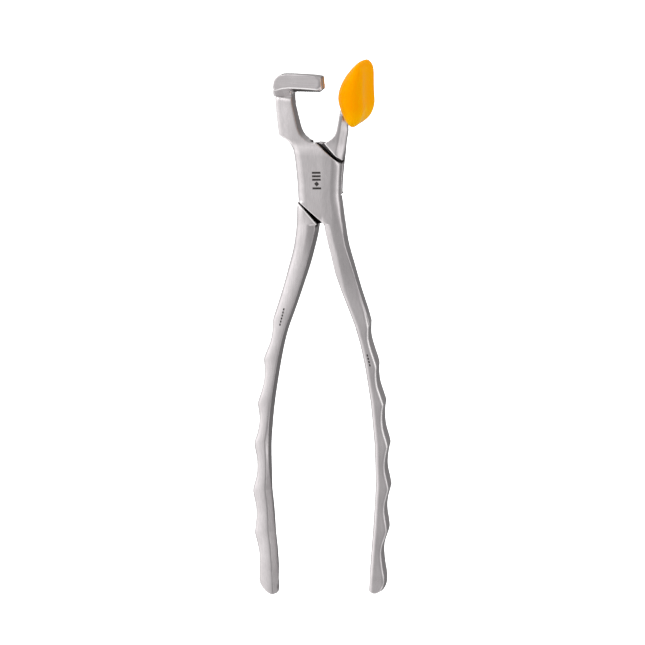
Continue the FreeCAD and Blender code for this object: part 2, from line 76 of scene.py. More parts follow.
def read(mesh):
    co = np.empty(len(mesh.vertices) * 3, np.float64)
    mesh.vertices.foreach_get("co", co)
    return co.reshape(-1, 3) / MM


def write(mesh, co):
    mesh.vertices.foreach_set("co", (co * MM).astype(np.float32).reshape(-1))
    mesh.update()


def evaluated(ob, name):
    """The object's mesh with its modifiers applied."""
    dg = bpy.context.evaluated_depsgraph_get()
    dg.update()
    mesh = bpy.data.meshes.new_from_object(ob.evaluated_get(dg), depsgraph=dg)
    mesh.name = name
    return mesh


def voxels(mesh, name, size, ease):
    """Even quads over the mesh, then eased."""
    ob = bpy.data.objects.new(name, mesh)
    scene.collection.objects.link(ob)
    m = ob.modifiers.new("voxels", "REMESH")
    m.mode = "VOXEL"
    m.voxel_size = size * MM
    m.use_smooth_shade = True
    if ease:
        s = ob.modifiers.new("ease", "SMOOTH")
        s.factor = 0.5
        s.iterations = ease
    out = evaluated(ob, name)
    bpy.data.objects.remove(ob)
    return out


def node_copy(node, name):
    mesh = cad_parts[node].data.copy()
    mesh.name = name
    bm = bmesh.new()
    bm.from_mesh(mesh)
    bmesh.ops.remove_doubles(bm, verts=bm.verts, dist=1e-7)
    bm.to_mesh(mesh)
    bm.free()
    return mesh


def smooth_steps(x, a, b):
    t = np.clip((x - a) / (b - a), 0.0, 1.0)
    return t * t * (3 - 2 * t)


def line(points, key):
    """Piecewise value along z: points are (value, z)."""
    p = sorted(points, key=lambda q: q[1])
    return np.interp(key, [q[1] for q in p], [q[0] for q in p])


def rounding(d, wide, high):
    """How far a surface drops at distance d from an edge rounded by an ellipse."""
    t = np.clip(1.0 - d / wide, 0.0, 1.0)
    return high * (1.0 - np.sqrt(np.maximum(0.0, 1.0 - t * t)))


# ---------------------------------------------------------------- outlines, mm
A_LEFT = [(23.12, -116.7), (22.65, -100.3), (21.1, -84.0), (18.7, -69.5), (16.89, -61.6), (14.75, -54.5),
          (12.06, -47.8), (9.45, -41.3), (6.95, -34.0), (5.5, -27.5), (4.3, -22.9), (3.05, -18.3), (1.75, -13.6)]
A_LEFT = [(19.9, -160.0), (21.05, -146.0), (22.1, -133.1)] + A_LEFT
A_PLATE_LEFT = [(-7.75, -6.88), (-7.9, -3.2), (-8.1, -0.9), (-8.25, 1.5), (-8.5, 3.8), (-8.7, 6.1), (-9.0, 8.4),
                (-9.3, 10.8), (-9.9, 13.1), (-11.2, 15.3), (-12.2, 16.4), (-13.6, 17.5), (-15.45, 18.55),
                (-15.75, 20.8), (-16.25, 24.3), (-16.7, 27.9), (-17.0, 31.3), (-17.5, 33.6)]
A_THROAT = [(8.3, 8.5), (-0.9, 16.1), (-3.2, 16.4), (-5.6, 17.3), (-6.6, 18.1), (-7.6, 19.4), (-8.55, 21.7),
            (-9.4, 25.1), (-10.2, 28.6), (-10.9, 32.1), (-11.0, 34.0)]
A_RIGHT = [(8.3, 8.5), (8.3, 6.0), (8.15, 3.6), (8.0, 1.3), (7.95, -1.0), (7.9, -3.4), (8.0, -5.7), (8.3, -8.0),
           (8.5, -10.4), (8.75, -12.7), (9.0, -15.0), (9.54, -18.3), (10.4, -22.9), (11.8, -27.5), (13.95, -34.0),
           (16.3, -41.3), (18.6, -47.8), (19.95, -53.9), (19.88, -56.2), (19.95, -58.6), (20.45, -60.9),
           (21.15, -63.2), (21.95, -65.5), (22.75, -67.8), (23.2, -69.5), (23.05, -71.5), (23.1, -73.4),
           (23.3, -75.4), (23.7, -77.4), (24.4, -79.5), (25.2, -81.7), (26.0, -84.0), (25.6, -86.2),
           (25.45, -88.7), (25.5, -91.0), (25.8, -93.4), (26.4, -95.7), (27.15, -98.0), (27.68, -100.3),
           (27.1, -102.7), (26.7, -105.0), (26.48, -108.0), (26.65, -110.2), (27.1, -112.3), (27.6, -114.4),
           (28.05, -116.7), (27.4, -119.0), (26.75, -121.4), (26.4, -123.7), (26.4, -126.1), (26.7, -128.4),
           (27.1, -130.7), (27.35, -133.0), (26.7, -135.4), (25.8, -137.8), (25.25, -140.2), (25.1, -142.4),
           (25.3, -145.0), (25.75, -148.3), (26.2, -150.7), (26.4, -153.0), (26.2, -160.0)]
B_INNER = [(-17.1, -162.0), (-17.4, -150.4), (-18.56, -136.2), (-19.85, -119.9), (-20.2, -101.1), (-18.95, -85.5),
           (-16.2, -68.5), (-13.34, -56.7), (-10.7, -49.5), (-8.23, -42.4), (-5.4, -34.0), (-3.72, -28.2),
           (-2.5, -23.5), (-1.45, -18.7), (-0.75, -14.2)]
B_OUTER = [(-8.05, -3.5), (-8.15, -7.9), (-8.35, -10.2), (-8.5, -14.2), (-8.9, -18.7), (-9.6, -23.5),
           (-10.75, -28.2), (-12.5, -34.0), (-15.05, -42.4), (-17.4, -49.5), (-18.6, -52.8), (-18.65, -55.2),
           (-18.85, -57.5), (-19.2, -59.9), (-19.9, -62.3), (-20.85, -64.7), (-21.75, -66.8), (-22.3, -68.3),
           (-22.0, -70.6), (-21.9, -73.0), (-22.0, -75.4), (-22.4, -78.2), (-23.2, -81.0), (-24.05, -83.5),
           (-24.8, -85.8), (-24.3, -88.2), (-24.0, -90.5), (-24.0, -92.8), (-24.35, -95.2), (-24.9, -97.6),
           (-25.6, -99.6), (-26.1, -101.1), (-25.75, -103.6), (-25.2, -105.9), (-24.85, -109.0),
           (-24.85, -112.3), (-25.2, -114.6), (-25.8, -116.9), (-26.5, -119.8), (-26.0, -122.0),
           (-25.4, -124.3), (-25.0, -127.0), (-24.95, -129.7), (-25.15, -132.3), (-25.45, -134.6),
           (-25.72, -136.2), (-25.1, -138.3), (-24.4, -140.8), (-23.9, -143.1), (-23.68, -146.0),
           (-23.65, -149.0), (-23.8, -151.5), (-24.05, -154.8), (-24.3, -162.0)]
B_RIGHT = [(7.9, -3.5), (8.0, 0.0), (8.25, 3.6), (8.6, 7.2), (8.95, 9.55), (9.35, 11.9), (9.75, 14.2),
           (10.2, 17.5), (10.55, 19.6), (11.15, 22.5), (12.9, 32.5), (14.4, 41.0)]
B_THROAT = [(0.4, 15.85), (2.0, 16.0), (3.3, 16.6), (4.4, 17.5), (5.9, 18.5), (6.75, 19.8), (7.45, 21.9),
            (8.6, 28.4), (10.5, 38.0)]
SLANT = 0.38
TILT = math.radians(10.0)


def arc3(t, g, c, f):
    """Half depth across a bar: g at its inner edge, c in the middle, f outside."""
    t = np.clip(t, 0.0, 1.0)
    return g + (-3 * g + 4 * c - f) * t + (2 * g - 4 * c + 2 * f) * t * t


def ease_down(z):
    k = np.clip((-z - 13.0) / 35.0, 0.0, 1.0)
    return k * k * (3 - 2 * k)


def to_segment(x, z, a, b):
    ax, az = a
    bx, bz = b
    ux, uz = bx - ax, bz - az
    t = np.clip(((x - ax) * ux + (z - az) * uz) / (ux * ux + uz * uz), 0.0, 1.0)
    return np.hypot(x - ax - t * ux, z - az - t * uz)


def clamp_depth(y, f, g):
    """Keeps y between the front surface -f and the rear surface g."""
    y = np.where((y < 0) & (y < -f), -f, y)
    return np.where((y > 0) & (y > g), g, y)


# lower edge of the beak's broad face
BEAK_LIP = [(36.2, -17.2), (36.55, -16.2), (37.35, -13.6), (37.72, -10.8), (37.72, -6.0), (37.6, -2.0), (37.35, 1.4),
            (37.9, 2.6)]
BEAK_TOP = [(38.2, -17.4), (40.4, -16.7), (41.6, -15.4), (42.35, -13.0), (42.7, -9.0), (42.45, -4.0), (41.9, 0.5),
            (41.3, 1.9), (40.0, 2.7)]


def beak_front(x, y, z):
    """Half depth of the beak half below the beak, with its eased edges."""
    z_s = z - SLANT * y
    base = 4.0 - 0.8 * smooth_steps(z, 11.0, 17.4)
    dl = x - line(A_PLATE_LEFT, z)
    dr = line(A_RIGHT, z) - x
    left_on = smooth_steps(z, -7.6, -6.4) * (1 - smooth_steps(z, 31.5, 33.5))
    plate = base - left_on * (rounding(dl, 3.0, 2.0) + rounding(dl, 0.7, 0.5))
    plate = plate - 0.22 * smooth_steps(-dr, -6.8, -2.0) - rounding(dr, 3.2, 2.9) * (1 - 0.4 * smooth_steps(-z, 3.0, 14.0))
    # top of the handle: a crown that leans to the right
    xi, xo = line(A_LEFT, z), line(A_RIGHT, z)
    t = (x - xi) / np.maximum(xo - xi, 1.0)
    k = ease_down(z)
    crest = 4.0 - 0.9 * k
    e = x - xi - 1.0
    up = crest - 0.5 * 0.29 / 4.0 * np.clip(e, 0, 4.0) ** 2 - 0.29 * np.maximum(e - 4.0, 0.0)
    up = up - rounding(x - xi, 1.5, 1.1) - rounding(dr, 1.2, 0.5) * (1 - smooth_steps(-z, 22.0, 34.0))
    # lower down: flat-ground front, eased along both edges
    h = 2.98 - 0.52 * np.clip(t - 0.15, 0, 1)
    h = h - rounding(x - xi, 1.5, 1.6) - rounding(line(A_RIGHT, z_s) - x, 1.0, 0.5)
    a = smooth_steps(-z, 11.0, 20.0)
    b = smooth_steps(-z, 32.0, 52.0)
    f = plate * (1 - a) + up * a
    f = f * (1 - b) + h * b
    f = f - 0.8 * smooth_steps(-z, 151.0, 160.5)
    # shank: gently crowned, a little proud of the left
    ds = line(A_THROAT, z) - x
    side = np.maximum(-9.6 - x, 0.0)
    lean = 0.045 * np.maximum(z - 17.4, 0.0)
    shank = 3.2 - lean - 0.0105 * side ** 2 - rounding(dl, 1.3, 0.7) - rounding(ds, 0.4, 0.15)
    c = smooth_steps(z, 13.5, 18.5)
    f = f * (1 - c) + shank * c
    return np.where(z > 30.4, 99.0, f)


def beak_face(x, z):
    """Depth of the beak's front: broad face, bright chamfer, hollow facet and shelf."""
    lip = np.interp(x, [q[1] for q in BEAK_LIP], [q[0] for q in BEAK_LIP])
    top = np.interp(x, [q[1] for q in BEAK_TOP], [q[0] for q in BEAK_TOP])
    left = line([(-17.0, 31.0), (-17.1, 33.0), (-17.5, 36.0), (-17.4, 38.8), (-16.7, 40.6), (-15.5, 41.85)],
                np.minimum(z, 41.85))
    end = np.interp(z, [37.0, 37.6, 38.6, 40.3, 41.4, 42.1], [1.7, 2.3, 2.8, 2.9, 2.5, 1.8])
    b = 6.0 - rounding(top + 0.35 - z, 0.35, 0.15) - rounding(x - left + 0.2, 0.8, 0.4)
    b = b - rounding(end - x, 2.1, 2.6)
    below = np.maximum(lip - z, 0.0)
    b = b - 0.42 * np.minimum(below, 0.45) - 1.0 * np.maximum(below - 0.45, 0.0)
    bottom = 33.15 - 0.13 * (x + 14.0)
    shelf = np.interp(bottom - z, [0.0, 0.3, 0.8, 1.4, 2.7], [2.15, 2.25, 2.46, 2.58, 2.61])
    side = np.maximum(-9.6 - x, 0.0)
    shelf = shelf - 0.0105 * side ** 2 - rounding(x - left, 1.3, 0.7)
    return np.where(z < bottom, shelf, np.maximum(b, 2.15))


def shape_beak_half(p, n):
    """Crowned plate, eased edges, flat-ground handle front, hooked beak."""
    x, y, z = p[:, 0].copy(), p[:, 1].copy(), p[:, 2]
    f = beak_front(x, y, z)
    y = clamp_depth(y, f, f)
    b = beak_face(x, z)
    y = np.where((z > 30.4) & (y < -b), -b, y)
    inside = (z > 30.4) & (z < 37.6) & (x < -11.25) & (x > -16.7) & (n[:, 1] < -0.25) & (y < -1.0)
    y = np.where(inside, -b, y)
    # the rounded edges would draw the outline in, so the sides stand out a little
    dl = x - line(A_PLATE_LEFT, z)
    side = (1 - smooth_steps(dl, 0.0, 2.4)) * smooth_steps(z, -7.6, -5.5) * (1 - smooth_steps(z, 31.5, 35.0))
    x = x - (0.45 + 0.15 * smooth_steps(z, 16.0, 21.0)) * side
    x = x - 0.4 * (1 - smooth_steps(x + 17.2, 0.0, 1.5)) * smooth_steps(z, 33.0, 35.0) * (1 - smooth_steps(z, 36.3, 37.3))
    dr = line(A_RIGHT, z) - x
    x = x + 0.40 * (1 - smooth_steps(dr, 0.0, 1.9)) * (1 - smooth_steps(z, 7.6, 9.2)) * smooth_steps(z, -50.0, -14.0)
    x = x - 0.35 * (1 - smooth_steps(x - line(A_LEFT, z), 0.0, 1.4)) * smooth_steps(-z, 14.5, 24.0)
    x = x + 0.62 * smooth_steps(x, 0.4, 2.6) * (z > 35.0)
    return np.stack([x, y, z], 1)


def wear_and_highlight_beak_half(p):
    """Painted highlight on the beak half, 0 to 1: its right edge, beak lip and tip lightened, partly as rubbed wear."""
    x, y, z = p[:, 0], p[:, 1], p[:, 2]
    d = np.abs(line(A_RIGHT, z - SLANT * y) - x - 0.22)
    rub_and_highlight = (1 - smooth_steps(d, 0.12, 0.5)) * smooth_steps(-z, 46.0, 56.0) * (y < -1.6)
    rub_and_highlight = rub_and_highlight * (0.55 - 0.4 * smooth_steps(-z, 96.0, 112.0))
    tip = smooth_steps(x, 2.2, 2.7) * (z > 36.0) * (1 - smooth_steps(z, 39.8, 41.0)) * (y > -5.6) * (y < -1.0)
    lip = np.interp(x, [q[1] for q in BEAK_LIP], [q[0] for q in BEAK_LIP])
    edge = (1 - smooth_steps(np.abs(lip - z - 0.2), 0.12, 0.4)) * (y < -5.0) * smooth_steps(x, -17.0, -14.5)
    return np.maximum(np.maximum(rub_and_highlight, 0.7 * edge), tip)


def shade_beak_half(p):
    """Painted shade on the beak half, 0 to 1: its lap gaps, throat wall, teeth, rims, end face, fold and right ridge
    darkened.
    """
    x, y, z = p[:, 0], p[:, 1], p[:, 2]
    depth = np.minimum(beak_front(x, y, z), 4.0) - np.abs(y)
    front = np.minimum(to_segment(x, z, (-0.9, 16.1), (8.3, 8.5)),
                       np.minimum(to_segment(x, z, (-7.75, -6.88), (1.6, -14.45)),
                                  to_segment(x, z, (1.6, -14.45), (1.95, -15.0))))
    rear = np.minimum(to_segment(x, z, (-2.55, 18.5), (-11.33, -3.2)), to_segment(x, z, (2.3, -16.1), (10.6, 1.7)))
    c = (1 - smooth_steps(front, 0.3, 0.7)) * smooth_steps(depth, 0.15, 0.5) * (y < 0.2)
    c = np.maximum(c, (1 - smooth_steps(rear, 0.3, 1.2)) * smooth_steps(depth, 0.3, 0.7) * (y > -0.3) * (x < 6.6))
    lip = np.interp(x, [q[1] for q in BEAK_LIP], [q[0] for q in BEAK_LIP])
    teeth = smooth_steps(x, -10.6, -9.2) * smooth_steps(lip - z, 0.45, 0.8) * (z > 34.5) * (y < -1.0)
    wall = (1 - smooth_steps(np.abs(line(A_THROAT, z) - x), 0.25, 0.6)) * smooth_steps(z, 17.0, 20.0)
    c = np.maximum(c, 0.28 * wall * (1 - smooth_steps(z, 33.0, 34.5)))
    ridge = (1 - smooth_steps(np.abs(line(A_RIGHT, z) - x), 0.2, 0.6)) * smooth_steps(-z, 10.0, 20.0)
    c = np.maximum(c, 0.22 * ridge * (1 - smooth_steps(-z, 44.0, 54.0)))
    end = smooth_steps(x, 2.3, 2.8) * smooth_steps(z, 39.8, 41.0) * (y > -5.7) * (y < -1.0)
    c = np.maximum(c, 0.5 * end)
    top = np.interp(x, [q[1] for q in BEAK_TOP], [q[0] for q in BEAK_TOP])
    left = line([(-17.5, 36.0), (-17.4, 38.8), (-16.7, 40.6), (-15.5, 41.85)], np.minimum(z, 41.85))
    rim = np.maximum(smooth_steps(z - top, -0.4, 0.1) * (z > 38.0),
                     (1 - smooth_steps(x - left, 0.2, 0.8)) * smooth_steps(z, 33.5, 35.0))
    bottom = 33.15 - 0.13 * (x + 14.0)
    fold = (1 - smooth_steps(np.abs(z - bottom - 0.15), 0.1, 0.6)) * (y < -1.0) * (x < -10.5)
    c = np.maximum(c, np.maximum(0.22 * rim, 0.30 * fold))
    return np.maximum(c, 0.93 * teeth)


S1B = ((8.8, 9.55), (1.75, 16.67))
S2B = ((-12.0, -3.05), (-0.43, -15.55))


def bumper_front(x, y, z):
    z_s = z - SLANT * y
    base = 4.0 - 0.8 * smooth_steps(z, 11.0, 17.4)
    dr = line(B_RIGHT, z) - x
    dl = x - line(B_OUTER, z)
    bevel = rounding(dr, 3.2, 0.9) + 0.80 * np.maximum(1.7 - dr, 0.0)
    f = base - bevel * smooth_steps(z, -3.6, -3.0)
    f = f - rounding(dl, 3.0, 2.2) * (1 - smooth_steps(z, 3.0, 3.6)) * smooth_steps(z, -30.0, -14.0)
    # handle: the crown sits towards the inner edge and rolls away to the left
    xi, xo = line(B_INNER, z), line(B_OUTER, z)
    wide = np.maximum(xi - xo, 1.0)
    s = np.clip((x - xo) / wide, 0.0, 1.0)
    k = ease_down(z)
    crest = 3.98 + (2.98 - 3.98) * k
    up = crest - wide * (0.26 * np.minimum(s - 0.74, 0.0) ** 2 + 0.14 * np.maximum(s - 0.74, 0.0) ** 2)
    up = up - 1.75 * smooth_steps(-z, 80.0, 128.0) * np.maximum(s - 0.78, 0.0) * wide
    up = up - rounding(x - line(B_OUTER, z_s), 1.1 + 0.7 * (1 - k), 0.6 + 0.7 * (1 - k))
    a = smooth_steps(-z, 9.5, 17.0)
    f = f * (1 - a) + np.minimum(up, 4.0) * a
    f = f - 1.2 * smooth_steps(-z, 147.0, 162.0)
    n = (x - 9.2) * math.cos(TILT) - (z - 22.0) * math.sin(TILT)
    m = 1.7 - n
    shank = 3.2 - 0.085 * np.clip(6.4 - m, 0.0, 5.0) - rounding(m, 3.2, 0.7) - 0.80 * np.maximum(2.1 - m, 0.0)
    c = smooth_steps(z, 7.0, 16.0)
    f = f * (1 - c) + (shank + base - 3.2) * c
    return np.where(z > 27.5, 99.0, f)


def shape_bumper_half(p, n):
    x, y, z = p[:, 0].copy(), p[:, 1].copy(), p[:, 2]
    f = bumper_front(x, y, z)
    rim = np.minimum(to_segment(x, z, *S1B), to_segment(x, z, *S2B))
    front = np.where(f < 50, f - rounding(rim, 0.45, 0.4), f)
    y = clamp_depth(y, front, f)
    w = smooth_steps(-z, 15.5, 32.0)
    y = np.where((z < -15.5) & (n[:, 1] < -0.6), y * (1 - w) - front * w, y)
    dl = x - line(B_OUTER, z)
    x = x - 0.40 * (1 - smooth_steps(dl, 0.0, 2.2)) * (1 - smooth_steps(z, 3.0, 3.6)) * smooth_steps(z, -46.0, -20.0)
    dr = line(B_RIGHT, z) - x
    x = x + 0.45 * (1 - smooth_steps(dr, 0.0, 2.9)) * smooth_steps(z, -4.6, -3.6) * (1 - smooth_steps(z, 20.5, 23.4))
    # the lower handle's rounded sides would draw its outline in
    share = np.clip((x - line(B_OUTER, z)) / np.maximum(line(B_INNER, z) - line(B_OUTER, z), 1.0), 0.0, 1.0)
    low = smooth_steps(-z, 106.0, 130.0)
    x = x + 0.65 * low * smooth_steps(share, 0.72, 0.98) - 0.32 * low * (1 - smooth_steps(share, 0.02, 0.3))
    # paddle: corners rounded and the inner face thinned towards its end
    along = (x - 9.2) * math.sin(TILT) + (z - 22.0) * math.cos(TILT)
    out = (x - 9.2) * math.cos(TILT) - (z - 22.0) * math.sin(TILT)
    thin = np.where(along > 13.0, np.maximum(-0.9 + 0.7 * (along - 13.0) / 8.5 - out, 0.0), 0.0)
    half = 6.5 - rounding(21.5 - along, 4.2, 3.2) - 3.3 * np.clip((11.5 - along) / 7.5, 0.0, 1.0)
    y = np.where(along > 4.55, np.clip(y, -half, half), y)
    x = x + thin * math.cos(TILT)
    z = z - thin * math.sin(TILT)
    return np.stack([x, y, z], 1)


def shade_bumper_half(p):
    x, y, z = p[:, 0], p[:, 1], p[:, 2]
    depth = np.minimum(bumper_front(x, y, z), 4.0) - np.abs(y)
    front = np.minimum(to_segment(x, z, *S1B),
                       np.minimum(to_segment(x, z, *S2B), to_segment(x, z, (-0.43, -15.55), (0.9, -17.0))))
    rear = np.minimum(to_segment(x, z, (-8.3, 3.5), (-1.2, 15.9)), to_segment(x, z, (7.9, -3.5), (0.3, -15.4)))
    # painted shade: darkens the lap gaps and the inner wall of the handle
    c = (1 - smooth_steps(front, 0.7, 2.0)) * smooth_steps(depth, 0.5, 0.8) * (y < 0.35)
    wall = (1 - smooth_steps(np.abs(line(B_INNER, z) - x), 0.2, 0.5)) * smooth_steps(-z, 16.0, 20.0)
    c = np.maximum(c, 0.30 * wall)
    share = np.clip((x - line(B_OUTER, z)) / np.maximum(line(B_INNER, z) - line(B_OUTER, z), 1.0), 0.0, 1.0)
    # painted shade: the right part of the lower handle front is darkened as if turned from the light
    band = 0.36 * smooth_steps(share, 0.62, 0.86) * smooth_steps(-z, 96.0, 122.0) * (y < 0.0)
    return np.maximum(np.maximum(c, (1 - smooth_steps(rear, 0.3, 0.7)) * smooth_steps(depth, 0.15, 0.5) * (y > -0.2) * (x < 6.6)), band)


def wear_and_highlight_bumper_half(p):
    x, y, z = p[:, 0], p[:, 1], p[:, 2]
    # painted highlight, partly rubbed wear: lightens the shoulder edges of the lap joint
    rim = np.minimum(to_segment(x, z, *S1B), to_segment(x, z, *S2B))
    return (1 - smooth_steps(rim, 0.2, 0.6)) * (y < -2.6)


def normals(mesh):
    n = np.empty(len(mesh.vertices) * 3, np.float32)
    mesh.vertices.foreach_get("normal", n)
    return n.reshape(-1, 3)


def steel_half(node, name, body, shaper, shader, wear_and_highlight, size):
    mesh = voxels(node_copy(node, name), name, 0.2, 2)
    write(mesh, shaper(read(mesh), normals(mesh)))
    mesh = voxels(mesh, name, size, 3)
    # easing draws the skin in a little; put it back
    q = read(mesh)
    lap = (np.abs(q[:, 1]) < 0.35) & (q[:, 2] > -18.0) & (q[:, 2] < 19.0)
    q = q + normals(mesh) * np.where(lap, 0.0, 0.06)[:, None]
    write(mesh, q)
    # painted shade and painted edge highlight, stored per point for the material
    shade_amount = mesh.attributes.new("painted_shade", "FLOAT", "POINT")
    shade_amount.data.foreach_set("value", shader(read(mesh)).astype(np.float32))
    rub_and_highlight = mesh.attributes.new("wear_and_highlight", "FLOAT", "POINT")
    rub_and_highlight.data.foreach_set("value", wear_and_highlight(read(mesh)).astype(np.float32))
    ob = bpy.data.objects.new(name, mesh)
    scene.collection.objects.link(ob)
    for poly in mesh.polygons:
        poly.use_smooth = True
    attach(ob, body)
    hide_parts(node)
    return ob


# ---------------------------------------------------------------- materials
class Nodes:
    """Short calls for a node tree."""

    def __init__(self, name):
        self.mat = bpy.data.materials.new(name)
        self.mat.use_nodes = True
        self.tree = self.mat.node_tree
        self.bsdf = self.tree.nodes["Principled BSDF"]
        self.coord = self.add("ShaderNodeTexCoord")

    def add(self, kind, **props):
        n = self.tree.nodes.new(kind)
        for k, v in props.items():
            setattr(n, k, v)
        return n

    def link(self, a, b):
        self.tree.links.new(a, b)

    def scaled(self, sx, sy, sz, rot=(0, 0, 0)):
        m = self.add("ShaderNodeMapping")
        m.inputs["Scale"].default_value = (sx, sy, sz)
        m.inputs["Rotation"].default_value = rot
        self.link(self.coord.outputs["Object"], m.inputs["Vector"])
        return m.outputs["Vector"]

    def noise(self, vec, scale=1.0, detail=3.0, rough=0.5):
        n = self.add("ShaderNodeTexNoise")
        n.inputs["Scale"].default_value = scale
        n.inputs["Detail"].default_value = detail
        n.inputs["Roughness"].default_value = rough
        self.link(vec, n.inputs["Vector"])
        return n.outputs["Fac"]

    def math(self, op, a, b=None, c=None, clamp=False):
        n = self.add("ShaderNodeMath", operation=op, use_clamp=clamp)
        for i, v in enumerate((a, b, c)):
            if v is None:
                continue
            if isinstance(v, (int, float)):
                n.inputs[i].default_value = v
            else:
                self.link(v, n.inputs[i])
        return n.outputs[0]

    def remap(self, v, a, b, c, d, smooth=False):
        n = self.add("ShaderNodeMapRange")
        n.interpolation_type = "SMOOTHSTEP" if smooth else "LINEAR"
        n.clamp = True
        for k, val in zip(("From Min", "From Max", "To Min", "To Max"), (a, b, c, d)):
            n.inputs[k].default_value = val
        self.link(v, n.inputs["Value"])
        return n.outputs["Result"]

    def mix(self, fac, a, b):
        n = self.add("ShaderNodeMix", data_type="RGBA")
        for sock, v in ((n.inputs["Factor"], fac), (n.inputs["A"], a), (n.inputs["B"], b)):
            pass
        f = n.inputs[0]
        a_in, b_in = n.inputs[6], n.inputs[7]
        for sock, v in ((f, fac), (a_in, a), (b_in, b)):
            if isinstance(v, (int, float)):
                sock.default_value = v
            elif isinstance(v, tuple):
                sock.default_value = v
            else:
                self.link(v, sock)
        return n.outputs[2]

    def axes(self):
        s = self.add("ShaderNodeSeparateXYZ")
        self.link(self.coord.outputs["Object"], s.inputs[0])
        return s.outputs


def bars(n, marks, X, Y, Z):
    """Mask of small etched bars on the front: (x, z, half length, half width, angle)."""
    total = None
    for cx, cz, hl, hw, ang in marks:
        ca, sa = math.cos(ang), math.sin(ang)
        dx = n.math("SUBTRACT", X, cx * MM)
        dz = n.math("SUBTRACT", Z, cz * MM)
        u = n.math("ADD", n.math("MULTIPLY", dx, ca), n.math("MULTIPLY", dz, sa))
        v = n.math("SUBTRACT", n.math("MULTIPLY", dz, ca), n.math("MULTIPLY", dx, sa))
        mu = n.remap(n.math("ABSOLUTE", u), (hl - 0.03) * MM, (hl + 0.03) * MM, 1.0, 0.0)
        mv = n.remap(n.math("ABSOLUTE", v), (hw - 0.03) * MM, (hw + 0.03) * MM, 1.0, 0.0)
        m = n.math("MULTIPLY", mu, mv)
        total = m if total is None else n.math("MAXIMUM", total, m)
    return n.math("MULTIPLY", total, n.remap(Y, -1.2 * MM, -1.0 * MM, 1.0, 0.0))


def steel(name, marks=(), beak=False, base=(0.60, 0.568, 0.575), rough=0.30):
    n = Nodes(name)
    X, Y, Z = n.axes()
    # satin finish: very fine blasted grain, long faint brush lines and slow cloudiness
    grain = n.noise(n.scaled(3200, 3200, 3200), 1.0, 2.0, 0.6)
    along = n.noise(n.scaled(2400, 2400, 420), 1.0, 3.0, 0.55)
    cloud = n.noise(n.scaled(160, 160, 90), 1.0, 4.0, 0.55)
    if beak:
        across = n.noise(n.scaled(90, 1200, 3400), 1.0, 3.0, 0.6)
        top = n.remap(Z, 33.6 * MM, 35.0 * MM, 0.0, 1.0, True)
        brush = n.math("ADD", n.math("MULTIPLY", across, top),
                       n.math("MULTIPLY", along, n.math("SUBTRACT", 1.0, top)))
    else:
        brush = along
    point = n.add("ShaderNodeNewGeometry").outputs["Pointiness"]
    rub_and_highlight = n.add("ShaderNodeAttribute", attribute_type="GEOMETRY", attribute_name="wear_and_highlight").outputs["Fac"]
    # sharp edges and the rubbed-edge attribute lighten the colour and lower the metal: painted edge highlight, partly
    # edge wear
    edge = n.math("ADD", n.math("MULTIPLY", n.remap(point, 0.53, 0.60, 0.0, 1.0, True), 0.12), rub_and_highlight, clamp=True)
    pit = n.remap(n.noise(n.scaled(900, 900, 900), 1.0, 5.0, 0.7), 0.66, 0.74, 0.0, 1.0, True)
    tone = n.math("ADD", n.math("MULTIPLY", brush, 0.42), n.math("MULTIPLY", grain, 0.24))
    tone = n.math("ADD", tone, n.math("MULTIPLY", cloud, 0.34))
    fac = n.remap(tone, 0.36, 0.64, 0.0, 1.0)
    dark = tuple(c * 0.86 for c in base) + (1.0,)
    lite = tuple(min(1.0, c * 1.08) for c in base) + (1.0,)
    col = n.mix(fac, dark, lite)
    col = n.mix(n.math("MULTIPLY", edge, 0.9), col, (0.90, 0.87, 0.87, 1.0))
    col = n.mix(n.math("MULTIPLY", pit, 0.16), col, (0.30, 0.27, 0.26, 1.0))
    r = n.remap(tone, 0.34, 0.66, rough + 0.05, rough - 0.04)
    r = n.math("SUBTRACT", r, n.math("MULTIPLY", edge, 0.08))
    metal = n.math("SUBTRACT", n.math("SUBTRACT", 1.0, n.math("MULTIPLY", edge, 0.40)), n.remap(rub_and_highlight, 0.75, 1.0, 0.0, 0.45))
    # painted shade: the per-point shade darkens the colour almost to black in gaps, walls, rims and bands
    shade_amount = n.add("ShaderNodeAttribute", attribute_type="GEOMETRY", attribute_name="painted_shade").outputs["Fac"]
    col = n.mix(shade_amount, col, (0.018, 0.015, 0.014, 1.0))
    r = n.math("ADD", r, n.math("MULTIPLY", shade_amount, 0.3))
    if marks:
        etched = bars(n, marks, X, Y, Z)
        speck = n.remap(n.noise(n.scaled(2600, 2600, 2600), 1.0, 2.0, 0.6), 0.3, 0.7, 0.94, 1.0)
        etched = n.math("MULTIPLY", etched, speck)
        col = n.mix(etched, col, (0.010, 0.006, 0.005, 1.0))
        r = n.math("ADD", n.math("MULTIPLY", r, n.math("SUBTRACT", 1.0, etched)), n.math("MULTIPLY", etched, 0.85))
        metal = n.math("MINIMUM", metal, n.math("SUBTRACT", 1.0, etched))
    b = n.bsdf
    n.link(col, b.inputs["Base Color"])
    n.link(r, b.inputs["Roughness"])
    n.link(metal, b.inputs["Metallic"])
    b.inputs["Anisotropic"].default_value = 0.25
    bump = n.add("ShaderNodeBump")
    bump.inputs["Strength"].default_value = 0.35
    bump.inputs["Distance"].default_value = 0.00002
    height = n.math("ADD", n.math("MULTIPLY", brush, 0.7), n.math("MULTIPLY", grain, 0.5))
    if marks:
        height = n.math("SUBTRACT", height, n.math("MULTIPLY", etched, 0.8))
    n.link(height, bump.inputs["Height"])
    n.link(bump.outputs["Normal"], b.inputs["Normal"])
    return n.mat


